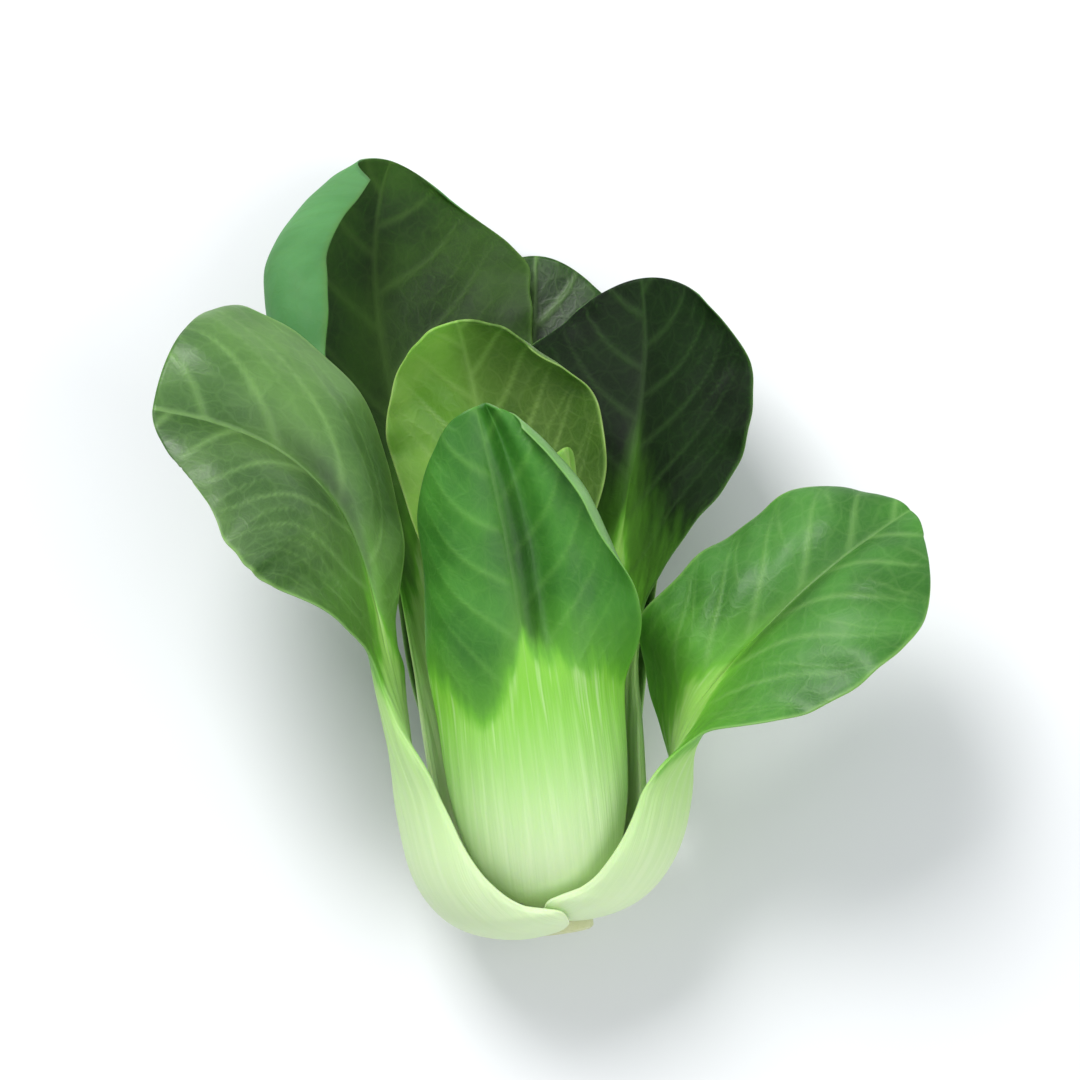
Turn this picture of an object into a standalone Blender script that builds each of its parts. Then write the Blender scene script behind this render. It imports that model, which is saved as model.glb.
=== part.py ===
"""A head of baby bok choy, as picked, lying on its back: a turned stem plate and its separate leaves.

Lengths in the source are millimetres and angles are degrees; meshes are written in metres.
The head grows along its own axis from the cut end. Front is the side that faces up as it lies,
and azimuth runs from the front over the head's right side to its back.
Row frame: +Z up, the head's length along +Y, the cut end towards -Y, the surface it lies on at Z = 0.
"""

import math
from dataclasses import dataclass, field

import bmesh
import bpy
import numpy as np
from mathutils import Vector

MM = 0.001

# The head as it lies
AXIS_RISE = 13.0  # degrees that the axis climbs from the cut end towards the tips
CUT_END_HEIGHT = 21.5  # height of the cut end's middle above the surface
SKIM = 0.08  # gap that a low blade keeps from the surface
SOFTNESS = 5.0  # height over which a blade eases into lying flat
BELLY_FREE = 6.0  # how far the easing stays under the stalk that is cut flat at the surface

# Leaves
THINNEST = 0.7  # a blade away from its ribs
RIB_WIDTH = 3.2  # half-width of the midrib's swelling
SPINE_SAMPLES = 241
TABLE_SIZE = 400.0
TABLE_DEPTH = 20.0

# Stem plate: (radius, distance up the axis) from the cut end to the growing tip
STEM_PROFILE = [
    (0.0, 0.0), (7.4, 0.0), (8.0, 0.5), (8.0, 4.0), (5.8, 5.4), (5.8, 8.0),
    (3.4, 9.2), (3.4, 12.0), (1.3, 13.2), (1.3, 16.0), (0.0, 16.8),
]
STEM_STEPS = 24

LEAF_GREEN = (0.055, 0.190, 0.035, 1.0)
HEART_GREEN = (0.130, 0.330, 0.050, 1.0)
STEM_PALE = (0.640, 0.740, 0.460, 1.0)

LEVEL = [(0, 0), (100, 0)]
CUPPED = [(0, 40), (100, 40)]


@dataclass
class Leaf:
    """One leaf: a fleshy stalk that widens into a blade. Keys are (distance along the leaf, value)."""

    name: str
    azimuth: float
    ring: float  # distance from the axis where the leaf starts
    height: float  # distance up the axis where it starts
    length: float
    neck: float  # distance along the leaf where the stalk ends
    half_width: list  # keys, up to the margin's last point beside the tip
    tip_arc: float  # how far the rounded tip stands beyond that point
    lean: list  # keys: angle outward from the axis
    sway: list = field(default_factory=LEVEL.copy)  # keys: angle towards higher azimuth
    twist: list = field(default_factory=LEVEL.copy)  # keys: turn about the midrib
    cup_low: list = field(default_factory=CUPPED.copy)  # keys: turn up to the lower-azimuth margin
    cup_high: list = field(default_factory=CUPPED.copy)
    curl_high: list = field(default_factory=LEVEL.copy)  # keys: further turn of the outer part of that side
    stalk_thick: float = 5.2
    crease: list = field(default_factory=LEVEL.copy)  # keys: rise of both halves beside the midrib
    skew: list = field(default_factory=LEVEL.copy)  # keys: extra share of the higher-azimuth side
    wave: float = 1.2  # height of the margin's waves
    waves: float = 3.0  # waves along the blade
    wave_phase: float = 0.0
    groove: float = 0.0  # depth of the fold beside the midrib on the higher-azimuth side
    rows: int = 24
    columns: int = 10
    rests: float = SKIM  # height that it comes down to
    pressed: bool = False  # True for the leaf whose stalk carries the head
    colour: tuple = LEAF_GREEN


OUTER_START = [(0, 80), (8, 62), (18, 30), (30, 6)]
MIDDLE_START = [(0, 70), (8, 50), (18, 20), (29, 4)]
INNER_START = [(0, 56), (7, 38), (16, 13), (26, 2)]
HEART_START = [(0, 34), (8, 20), (18, 5)]

LEAVES = [
    Leaf(
        "leaf_outer_left", -72, 8.7, 1.2, 143, 72,
        half_width=[
            (0, 11), (8, 20), (11.5, 22), (14, 20.4), (18, 20.2), (24, 18.9), (31, 16.8), (38, 14.2),
            (46, 12), (58, 8.4), (69, 6.8), (76, 12), (85, 19.5), (96, 26.5), (108, 31),
            (120, 31), (129, 27.5), (135, 21),
        ],
        tip_arc=8,
        lean=OUTER_START
        + [(42, 5), (56, 6), (73, 3), (84, 7), (96, 21), (108, 39), (120, 56), (132, 68), (143, 74)],
        sway=[(0, 0), (60, 0), (90, -2), (120, -6), (145, -10)],
        twist=[(0, 0), (34, 2), (56, 26), (74, 56), (90, 70), (145, 72)],
        cup_low=[(0, 30), (70, 24), (84, -10), (104, -42), (124, -42), (145, -20)],
        cup_high=[(0, 30), (75, 30), (100, 10), (145, 8)],
        crease=[(0, 0), (60, 0), (84, 34), (108, 46), (128, 40), (145, 20)],
        skew=[
            (0, 0.13), (8, 0.15), (11.5, 0.14), (14, 0.02), (18, -0.06), (24, -0.1), (31, -0.13), (38, -0.1),
            (46, 0), (64, 0), (76, 0.54), (85, 0.5), (96, 0.34), (108, 0.14), (120, -0.02), (130, -0.24),
            (143, -0.42),
        ],
        wave=1.0, waves=2.4, wave_phase=0.4,
    ),
    Leaf(
        "leaf_outer_right", 72, 8.5, 3.6, 110, 50,
        half_width=[
            (0, 10.8), (8, 19.6), (11.5, 21.7), (14, 20.4), (18, 20), (24, 18.4), (31, 16.4), (41, 16),
            (47, 17.8), (55, 21.8), (66, 24.5), (78, 26.5), (89, 25), (97, 20.5), (103, 14), (106, 8.5),
        ],
        tip_arc=4,
        lean=OUTER_START[:2]
        + [(18, 36), (28, 19), (36, 16), (44, 26), (52, 41), (64, 48), (78, 51), (96, 57), (116, 63)],
        sway=[(0, 0), (46, 0), (70, 10), (94, 26), (116, 42)],
        twist=[(0, 0), (32, -2), (48, -34), (60, -62), (116, -70)],
        cup_low=[(0, 30), (50, 26), (66, 0), (84, -16), (110, -10)],
        cup_high=[(0, 30), (50, 20), (66, -10), (84, -30), (110, -20)],
        crease=[(0, 0), (44, 0), (60, 40), (86, 42), (110, 20)],
        skew=[
            (0, -0.1), (8, -0.13), (11.5, -0.13), (14, -0.02), (18, 0.05), (24, 0.06), (31, 0.02), (40, 0.1),
            (47, 0.2), (54, 0.11), (66, -0.04), (85, -0.08), (110, 0),
        ],
        wave=1.2, waves=2.2, wave_phase=2.0,
    ),
    Leaf(
        "leaf_back", 176, 8.5, 2.3, 152, 72,
        half_width=[
            (0, 5.6), (8, 11.5), (18, 19), (31, 22), (42, 24.5), (56, 26.5),
            (70, 27.5), (86, 30), (104, 33), (120, 32), (133, 26), (140, 19), (145, 13),
        ],
        tip_arc=7,
        lean=OUTER_START + [(46, 8), (66, 17), (90, 20), (120, 15), (152, 4)],
        sway=[(0, 0), (50, 0), (80, -6), (152, -8)],
        cup_low=[(0, 30), (76, 20), (110, 6), (152, 6)],
        cup_high=[(0, 30), (76, 20), (110, 6), (152, 6)],
        crease=[(0, 0), (60, 0), (90, 14), (120, 12), (152, 6)],
        wave=1.4, waves=3.0, wave_phase=1.1, rows=22, pressed=True,
    ),
    Leaf(
        "leaf_front", 0, 6.5, 7.0, 107, 48,
        half_width=[
            (0, 6.4), (8, 13), (18, 18.5), (30, 21.5), (44, 22.5),
            (56, 24), (70, 25.5), (84, 23), (95, 16), (101, 10),
        ],
        tip_arc=6,
        lean=MIDDLE_START + [(48, -1), (78, 4), (107, 10)],
        sway=[(0, 0), (50, 0), (78, -4), (107, -8)],
        cup_low=[(0, 50), (48, 62), (72, 72), (107, 50)],
        cup_high=[(0, 50), (48, 56), (72, 36), (107, 30)],
        curl_high=[(0, 0), (48, 0), (64, -90), (80, -150), (96, -130), (107, -80)],
        crease=[(0, 0), (44, 0), (64, -30), (88, -34), (107, -16)],
        skew=[(0, 0), (56, 0), (76, 0.1), (95, 0), (107, -0.1)],
        stalk_thick=5.0, wave=0.8, waves=2.0, wave_phase=0.5, groove=4.2, rows=22, columns=14,
    ),
    Leaf(
        "leaf_left", -138, 6.5, 7.0, 170, 76,
        half_width=[
            (0, 5.4), (8, 11), (18, 15.5), (32, 16), (54, 12), (72, 10.5),
            (80, 14), (96, 28), (116, 40), (134, 42), (145, 39), (154, 32.5), (160, 25), (165, 15),
        ],
        skew=[(0, 0), (84, 0), (110, 0.2), (136, 0.21), (150, 0.1), (170, 0)],
        tip_arc=5,
        lean=MIDDLE_START + [(44, 6), (62, 14), (90, 19), (120, 18), (145, 6), (170, -26)],
        sway=[(0, 0), (50, -2), (80, -9), (120, -11), (170, -12)],
        twist=[(0, 0), (44, 2), (80, 12), (120, 18), (170, 14)],
        cup_low=[(0, 40), (76, 40), (110, 30), (140, 34), (170, 36)],
        cup_high=[(0, 40), (76, 44), (110, 34), (140, 34), (170, 40)],
        curl_high=[(0, 0), (86, 0), (112, 110), (135, 140), (152, 130), (170, 100)],
        crease=[(0, 0), (66, 0), (96, 14), (130, 14), (170, 6)],
        stalk_thick=5.0, wave=1.2, waves=3.0, wave_phase=2.6, rows=26, columns=14, rests=3.2,
    ),
    Leaf(
        "leaf_right", 124, 6.5, 7.0, 134, 66,
        half_width=[
            (0, 5.1), (8, 10.8), (18, 14.8), (32, 14), (52, 10), (62, 10),
            (70, 14), (84, 25), (100, 30), (114, 27), (123, 20), (128, 15),
        ],
        tip_arc=6,
        lean=MIDDLE_START + [(44, 5), (62, 14), (90, 20), (110, 16), (134, -2)],
        sway=[(0, 0), (50, 0), (90, 2), (134, 0)],
        twist=[(0, 0), (44, -2), (78, -24), (134, -36)],
        cup_low=[(0, 40), (70, 30), (100, 18), (134, 28)],
        cup_high=[(0, 40), (70, 34), (100, 34), (134, 34)],
        crease=[(0, 0), (60, 0), (86, 22), (112, 18), (134, 8)],
        stalk_thick=5.0, wave=1.2, waves=2.8, wave_phase=0.0,
    ),
    Leaf(
        "leaf_hood", 180, 4.5, 11.0, 126, 56,
        half_width=[
            (0, 4.4), (8, 9), (18, 13.5), (32, 13.5), (46, 12), (56, 12),
            (68, 18), (84, 24), (98, 25), (112, 20), (120, 14),
        ],
        skew=[(0, 0), (60, 0), (85, -0.16), (126, -0.1)],
        tip_arc=6,
        lean=INNER_START + [(46, 2), (68, 8), (86, 6), (102, -14), (115, -44), (126, -74)],
        sway=[(0, 0), (44, 0), (80, 4), (126, 6)],
        cup_low=[(0, 50), (60, 52), (90, 56), (126, 46)],
        cup_high=[(0, 50), (60, 48), (90, 40), (126, 36)],
        stalk_thick=4.2, wave=1.0, waves=2.6, wave_phase=1.6, colour=HEART_GREEN,
    ),
    Leaf(
        "leaf_inner_left", -62, 4.5, 11.0, 84, 44,
        half_width=[(0, 4.2), (8, 8.5), (18, 12), (32, 12), (42, 10), (52, 12), (62, 13), (70, 11), (78, 7)],
        tip_arc=5,
        lean=INNER_START + [(46, -2), (66, -2), (84, -6)],
        cup_low=[(0, 50), (50, 58), (84, 50)],
        cup_high=[(0, 50), (50, 58), (84, 50)],
        stalk_thick=4.0, wave=0.6, waves=2.0, rows=18, columns=8, colour=HEART_GREEN,
    ),
    Leaf(
        "leaf_inner_right", 62, 4.5, 11.0, 90, 48,
        half_width=[
            (0, 4.2), (8, 8.5), (18, 12), (32, 12), (46, 10), (56, 12.5), (66, 14), (76, 12), (84, 8),
        ],
        tip_arc=5,
        lean=INNER_START + [(48, 1), (70, 2), (90, -2)],
        cup_low=[(0, 50), (50, 58), (90, 50)],
        cup_high=[(0, 50), (50, 58), (90, 50)],
        stalk_thick=4.0, wave=0.6, waves=2.0, wave_phase=1.0, rows=18, columns=8, colour=HEART_GREEN,
    ),
    Leaf(
        "leaf_heart_front", 12, 2.4, 15.0, 66, 34,
        half_width=[(0, 2.4), (8, 5.5), (18, 7.2), (32, 7.2), (42, 8.5), (52, 9), (60, 5.5)],
        tip_arc=4,
        lean=HEART_START + [(34, -2), (66, -4)],
        cup_low=[(0, 60), (36, 60), (66, 60)],
        cup_high=[(0, 60), (36, 60), (66, 60)],
        stalk_thick=3.0, wave=0.4, waves=1.5, rows=14, columns=6, colour=HEART_GREEN,
    ),
    Leaf(
        "leaf_heart_back", -168, 2.4, 15.0, 74, 38,
        half_width=[(0, 2.4), (8, 5.5), (18, 7.4), (34, 7.4), (46, 9.5), (58, 10), (68, 6)],
        tip_arc=4,
        lean=HEART_START + [(36, 0), (74, -2)],
        cup_low=[(0, 60), (40, 60), (74, 60)],
        cup_high=[(0, 60), (40, 60), (74, 60)],
        stalk_thick=3.0, wave=0.4, waves=1.5, wave_phase=1.0, rows=14, columns=6, colour=HEART_GREEN,
    ),
]

RISE = math.radians(AXIS_RISE)
AXIS = np.array([0.0, math.cos(RISE), math.sin(RISE)])
FRONT = np.array([0.0, -math.sin(RISE), math.cos(RISE)])
RIGHT = np.array([1.0, 0.0, 0.0])


def through(keys, at):
    """A smooth curve through (place, value) keys that never overshoots them."""
    place, value = np.array(keys, float).T
    step = np.diff(place)
    slope = np.diff(value) / step
    tangent = np.empty(len(place))
    tangent[0], tangent[-1] = slope[0], slope[-1]
    for i in range(1, len(place) - 1):
        before, after = slope[i - 1], slope[i]
        turns = before * after <= 0
        weight = (2 * step[i] + step[i - 1], step[i] + 2 * step[i - 1])
        tangent[i] = 0 if turns else sum(weight) / (weight[0] / before + weight[1] / after)
    at = np.clip(at, place[0], place[-1])
    i = np.clip(np.searchsorted(place, at) - 1, 0, len(step) - 1)
    t = (at - place[i]) / step[i]
    bend = tangent[i] * (t - 2 * t**2 + t**3) + tangent[i + 1] * (t**3 - t**2)
    return value[i] + (value[i + 1] - value[i]) * (3 * t**2 - 2 * t**3) + bend * step[i]


def eased(t):
    """0 below 0, 1 above 1, and a smooth step between."""
    t = np.clip(t, 0.0, 1.0)
    return t * t * (3 - 2 * t)


def spine_of(leaf):
    """The midrib: distances along it, its points, and the across and inward directions at each."""
    along = np.linspace(0.0, leaf.length, SPINE_SAMPLES)
    start = math.radians(leaf.azimuth)
    radial = math.cos(start) * FRONT + math.sin(start) * RIGHT
    sideways = -math.sin(start) * FRONT + math.cos(start) * RIGHT
    curves = (leaf.lean, leaf.sway, leaf.twist)
    lean, sway, twist = (np.radians(through(keys, along))[:, None] for keys in curves)
    tangent = np.cos(sway) * (np.cos(lean) * AXIS + np.sin(lean) * radial) + np.sin(sway) * sideways
    inward = np.sin(lean) * AXIS - np.cos(lean) * radial
    across = np.cross(inward, tangent)
    inward, across = (
        np.cos(twist) * inward + np.sin(twist) * across,
        np.cos(twist) * across - np.sin(twist) * inward,
    )
    steps = (tangent[1:] + tangent[:-1]) / 2 * (leaf.length / (SPINE_SAMPLES - 1))
    points = leaf.height * AXIS + leaf.ring * radial + np.vstack([np.zeros(3), np.cumsum(steps, axis=0)])
    return along, points, across, inward


def at_distance(along, rows, distance):
    """Rows of vectors read at distances along the spine."""
    flat = [np.interp(distance, along, rows[:, i]) for i in range(3)]
    return np.stack(flat, axis=-1)


def section_of(leaf, along, share, width, from_axis):
    """Where the leaf's cross-section lies, across and inward of the midrib, at a share of its half-width."""
    side = np.abs(share)
    stalk = 1 - eased((along - 0.55 * leaf.neck) / (0.5 * leaf.neck))
    hug = np.degrees(width / np.maximum(from_axis, 1.0))
    high = share > 0
    cup = np.where(high, through(leaf.cup_high, along), through(leaf.cup_low, along))
    curl = np.where(high, through(leaf.curl_high, along), 0.0)
    turn = np.radians(cup * (1 - stalk) + hug * stalk)
    extra = np.radians(curl)
    fold = np.radians(through(leaf.crease, along))
    samples = 24
    out, up = np.zeros_like(side), np.zeros_like(side)
    for k in range(samples):
        t = side * (k + 0.5) / samples
        angle = fold * (1 - eased(t / 0.65)) + turn * t + extra * eased((t - 0.45) / 0.55)
        out += np.cos(angle) * side / samples
        up += np.sin(angle) * side / samples
    return np.sign(share) * out * width, up * width


def thickness_of(leaf, along, share, width):
    """Thickness over the leaf: a crescent in the stalk, a thin blade with a swollen midrib beyond it."""
    swell = through([(0, 0.62), (0.2 * leaf.neck, 0.95), (0.5 * leaf.neck, 1.0), (leaf.neck, 0.6)], along)
    stalk = np.maximum(leaf.stalk_thick * swell * (1 - 0.80 * np.abs(share) ** 2.2), 1.1)
    left = np.clip((leaf.length - along) / (leaf.length - leaf.neck), 0, 1)
    rib = 2.0 * left**1.4 * np.exp(-((share * width / RIB_WIDTH) ** 2))
    blade = THINNEST + rib
    into_blade = eased((along - leaf.neck + 12) / 26)
    return stalk * (1 - into_blade) + blade * into_blade


def eased_up(height, over):
    """height where it is above zero, flat at zero below it, and a smooth bend of half-width over between."""
    bend = (height + over) ** 2 / (4 * over)
    return np.where(height > over, height, np.where(height < -over, 0.0, bend))


def lay_down(leaf, points, thick):
    """The leaf's points with what would sink into the surface laid flat on it."""
    lift = np.full(thick.shape, leaf.rests)
    if leaf.pressed:
        along = np.linspace(0, leaf.length, thick.shape[0])[:, None]
        lift = lift - BELLY_FREE * (1 - eased((along - 0.5 * leaf.neck) / (0.4 * leaf.neck)))
    floor = thick / 2 + lift - CUT_END_HEIGHT
    laid = points.copy()
    laid[..., 2] = floor + eased_up(points[..., 2] - floor, SOFTNESS)
    return laid


def surface_of(leaf, rows, columns):
    """The leaf's middle surface and thickness on a grid of rows from root to tip."""
    spine, points, across, inward = spine_of(leaf)
    edge_end = leaf.length - leaf.tip_arc
    u = np.linspace(0, 1, rows + 1)[:, None]
    share = np.sin(np.linspace(-1, 1, columns + 1) * math.pi / 2 * 0.8)[None, :] / math.sin(math.pi / 2 * 0.8)
    middle = u * leaf.length
    edge = u * edge_end
    along = middle - (middle - edge) * share**2
    width = through(leaf.half_width, edge) * (1 + through(leaf.skew, edge) * np.sign(share))
    share = share * np.ones_like(u)
    centre = at_distance(spine, points, along)
    off_axis = centre - (centre @ AXIS)[..., None] * AXIS
    out, up = section_of(leaf, along, share, width, np.linalg.norm(off_axis, axis=-1))
    blade = eased((along - leaf.neck) / 20)
    beyond = (along - leaf.neck) / (leaf.length - leaf.neck)
    ripple = np.sin(2 * math.pi * leaf.waves * beyond + leaf.wave_phase + 1.3 * np.sign(share))
    up = up + leaf.wave * blade * np.abs(share) ** 3 * ripple
    up = up + leaf.groove * blade * np.exp(-(((share - 0.22) / 0.12) ** 2))
    aside, inner = at_distance(spine, across, along), at_distance(spine, inward, along)
    free = centre + aside * out[..., None] + inner * up[..., None]
    turn = (share * width / np.maximum(np.linalg.norm(off_axis, axis=-1), 1.0))[..., None]
    hugging = centre - off_axis + off_axis * np.cos(turn) + np.cross(AXIS, off_axis) * np.sin(turn)
    loose = eased((along - 0.3 * leaf.neck) / (0.4 * leaf.neck))[..., None]
    surface = hugging + (free - hugging) * loose
    thick = thickness_of(leaf, along, share, width)
    return lay_down(leaf, surface, thick), thick


def material(name, colour, roughness=0.45):
    made = bpy.data.materials.new(name)
    made.use_nodes = True
    shader = made.node_tree.nodes["Principled BSDF"]
    shader.inputs["Base Color"].default_value = colour
    shader.inputs["Roughness"].default_value = roughness
    return made


def add_leaf(leaf, group):
    """A leaf: a grid shaped to the middle surface, thickened by a Solidify modifier."""
    points, thick = surface_of(leaf, leaf.rows, leaf.columns)
    sheet = bmesh.new()
    bmesh.ops.create_grid(sheet, x_segments=leaf.columns, y_segments=leaf.rows, size=1.0)
    sheet.verts.ensure_lookup_table()
    flat = (points * MM).reshape(-1, 3)
    for vertex, place in zip(sheet.verts, flat):
        vertex.co = place
    bmesh.ops.triangulate(sheet, faces=sheet.faces)
    mesh = bpy.data.meshes.new(leaf.name)
    sheet.to_mesh(mesh)
    sheet.free()
    made = bpy.data.objects.new(leaf.name, mesh)
    group.objects.link(made)
    mesh.materials.append(material(leaf.name, leaf.colour))
    mesh.shade_smooth()
    thickest = float(thick.max())
    depth = made.vertex_groups.new(name="thickness")
    for index, value in enumerate(thick.ravel()):
        depth.add([index], float(value) / thickest, "REPLACE")
    shell = made.modifiers.new("body", "SOLIDIFY")
    shell.thickness = thickest * MM
    shell.offset = 0.0
    shell.vertex_group = depth.name
    return made


def add_stem(group):
    """The stem plate that the leaves grow from: a turned solid along the head's axis."""
    outline = bmesh.new()
    rings = [outline.verts.new((radius * MM, 0.0, up * MM)) for radius, up in reversed(STEM_PROFILE)]
    for first, second in zip(rings, rings[1:]):
        outline.edges.new((first, second))
    mesh = bpy.data.meshes.new("stem_plate")
    outline.to_mesh(mesh)
    outline.free()
    made = bpy.data.objects.new("stem_plate", mesh)
    group.objects.link(made)
    mesh.materials.append(material("stem_plate", STEM_PALE))
    turn = made.modifiers.new("turn", "SCREW")
    turn.axis = "Z"
    turn.steps = turn.render_steps = STEM_STEPS
    turn.use_merge_vertices = True
    turn.merge_threshold = 0.00001
    made.rotation_euler = Vector(AXIS).to_track_quat("Z", "X").to_euler()
    return made


def add_surface_cutter(group):
    """The block under the head whose top is the surface that it lies on."""
    block = bmesh.new()
    bmesh.ops.create_cube(block, size=1.0)
    bmesh.ops.scale(block, verts=block.verts, vec=(TABLE_SIZE * MM, TABLE_SIZE * MM, TABLE_DEPTH * MM))
    bmesh.ops.translate(block, verts=block.verts, vec=(0, 0, -(CUT_END_HEIGHT + TABLE_DEPTH / 2) * MM))
    mesh = bpy.data.meshes.new("surface_cutter")
    block.to_mesh(mesh)
    block.free()
    made = bpy.data.objects.new("surface_cutter", mesh)
    group.objects.link(made)
    made.hide_render = True
    made.display_type = "WIRE"
    return made


def settle(pieces, cutter):
    """Move everything so that the head's lowest face is at Z = 0 and its middle is over the origin."""
    bpy.context.view_layer.update()
    graph = bpy.context.evaluated_depsgraph_get()
    corners = []
    for piece in pieces:
        solid = piece.evaluated_get(graph)
        mesh = solid.to_mesh()
        corners += [solid.matrix_world @ vertex.co for vertex in mesh.vertices]
        solid.to_mesh_clear()
    middle = [(min(c[i] for c in corners) + max(c[i] for c in corners)) / 2 for i in range(2)]
    shift = Vector((-middle[0], -middle[1], CUT_END_HEIGHT * MM))
    for made in [*pieces, cutter]:
        made.location = made.location + shift


def main():
    for old in list(bpy.data.objects):
        bpy.data.objects.remove(old)
    head = bpy.data.collections.new("bok_choy")
    tools = bpy.data.collections.new("cutters")
    bpy.context.scene.collection.children.link(head)
    bpy.context.scene.collection.children.link(tools)
    cutter = add_surface_cutter(tools)
    pieces = [add_stem(head)] + [add_leaf(leaf, head) for leaf in LEAVES]
    for leaf, piece in zip(LEAVES, pieces[1:]):
        if leaf.pressed:
            flat = piece.modifiers.new("pressed_flat", "BOOLEAN")
            flat.operation = "DIFFERENCE"
            flat.solver = "EXACT"
            flat.object = cutter
    settle(pieces, cutter)


if __name__ == "__main__":
    main()
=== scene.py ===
"""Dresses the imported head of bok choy: fine leaves, a turned stem plate, studio light and camera.

Leaf sizes are millimetres and degrees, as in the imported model's source; meshes are written in metres.
Azimuth runs round the head's own axis, from the front, which faces up as the head lies, over its right side.
"""

import logging
import math
from dataclasses import dataclass, field
from enum import Enum

import bpy
import numpy as np
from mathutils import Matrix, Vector


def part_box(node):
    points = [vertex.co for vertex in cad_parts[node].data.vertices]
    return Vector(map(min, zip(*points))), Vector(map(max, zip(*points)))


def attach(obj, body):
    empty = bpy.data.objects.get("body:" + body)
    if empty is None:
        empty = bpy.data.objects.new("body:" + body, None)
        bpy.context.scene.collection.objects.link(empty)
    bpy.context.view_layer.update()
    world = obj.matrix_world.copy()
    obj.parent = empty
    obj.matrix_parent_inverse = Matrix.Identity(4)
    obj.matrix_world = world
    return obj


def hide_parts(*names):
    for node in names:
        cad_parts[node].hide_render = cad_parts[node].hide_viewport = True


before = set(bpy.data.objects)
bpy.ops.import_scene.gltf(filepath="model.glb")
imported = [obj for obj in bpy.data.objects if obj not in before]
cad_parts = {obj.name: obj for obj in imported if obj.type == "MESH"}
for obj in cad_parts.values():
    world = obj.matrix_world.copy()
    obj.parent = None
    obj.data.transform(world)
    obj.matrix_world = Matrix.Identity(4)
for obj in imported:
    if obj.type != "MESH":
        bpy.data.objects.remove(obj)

log = logging.getLogger("bok_choy")

Points = list[tuple[float, float]]
Colour = tuple[float, float, float, float]

MM = 0.001
AXIS_RISE = math.radians(13.0)  # how steeply the axis climbs from the cut end towards the tips
CUT_END_HEIGHT = 21.5  # height of the cut end's middle above the surface
SKIM = 0.08  # gap that a low blade keeps from the surface
SOFTNESS = 5.0  # height over which a blade eases into lying flat
BELLY_FREE = 6.0  # how far the easing stays under the stalk that is pressed flat
AXIS = np.array([0.0, math.cos(AXIS_RISE), math.sin(AXIS_RISE)])
FRONT = np.array([0.0, -math.sin(AXIS_RISE), math.cos(AXIS_RISE)])
RIGHT = np.array([1.0, 0.0, 0.0])
SPINE_STEPS = 240  # steps along the midrib
SECTION_STEPS = 24  # steps from the midrib out to the margin


def srgb(red: int, green: int, blue: int) -> Colour:
    """Turns a screen colour into the linear colour that shaders take.

    Args:
        red: Red, from 0 to 255.
        green: Green, from 0 to 255.
        blue: Blue, from 0 to 255.

    Returns:
        The linear colour, with full alpha.
    """
    screen = [channel / 255 for channel in (red, green, blue)]
    linear = [c / 12.92 if c <= 0.04 else ((c + 0.055) / 1.055) ** 2.4 for c in screen]
    return (linear[0], linear[1], linear[2], 1.0)


def through(keys: Points, at: np.ndarray) -> np.ndarray:
    """Reads a smooth curve through keys that never overshoots them.

    Args:
        keys: Places and the values there, in order of place.
        at: The places to read.

    Returns:
        The values at those places, held level beyond the first and last key.
    """
    place, value = np.array(keys, float).T
    step = np.diff(place)
    slope = np.diff(value) / step
    tangent = np.empty(len(place))
    tangent[0], tangent[-1] = slope[0], slope[-1]
    for i in range(1, len(place) - 1):
        before, after = slope[i - 1], slope[i]
        weight = (2 * step[i] + step[i - 1], step[i] + 2 * step[i - 1])
        tangent[i] = 0 if before * after <= 0 else sum(weight) / (weight[0] / before + weight[1] / after)
    at = np.clip(at, place[0], place[-1])
    i = np.clip(np.searchsorted(place, at) - 1, 0, len(step) - 1)
    t = (at - place[i]) / step[i]
    bend = tangent[i] * (t - 2 * t**2 + t**3) + tangent[i + 1] * (t**3 - t**2)
    return value[i] + (value[i + 1] - value[i]) * (3 * t**2 - 2 * t**3) + bend * step[i]


def eased(t: np.ndarray) -> np.ndarray:
    """Returns 0 below 0, 1 above 1 and a smooth step between."""
    t = np.clip(t, 0.0, 1.0)
    return t * t * (3 - 2 * t)


def eased_up(height: np.ndarray, over: float) -> np.ndarray:
    """Returns the height, bent smoothly to stay at or above zero, with a bend of half-width over."""
    bend = (height + over) ** 2 / (4 * over)
    return np.where(height > over, height, np.where(height < -over, 0.0, bend))


def deselect_all() -> None:
    """Clears the selection, so that an operator acts on the next new piece alone."""
    bpy.ops.object.select_all(action="DESELECT")


def places_of(mesh: bpy.types.Mesh) -> np.ndarray:
    """Reads where the mesh's vertices are, in one row for each."""
    places = np.empty(len(mesh.vertices) * 3, np.float32)
    mesh.vertices.foreach_get("co", places)
    return places.reshape(-1, 3)


def put_places(mesh: bpy.types.Mesh, places: np.ndarray) -> None:
    """Moves the mesh's vertices to the given places, one row for each."""
    mesh.vertices.foreach_set("co", places.ravel().astype(np.float32))
    mesh.update()


def write_attribute(mesh: bpy.types.Mesh, name: str, values: np.ndarray) -> None:
    """Writes a value, or a row that is a vector, for each vertex of the mesh."""
    kind, slot = ("FLOAT", "value") if values.ndim == 1 else ("FLOAT_VECTOR", "vector")
    written = mesh.attributes.new(name, kind, "POINT")
    written.data.foreach_set(slot, values.ravel().astype(np.float32))


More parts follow.
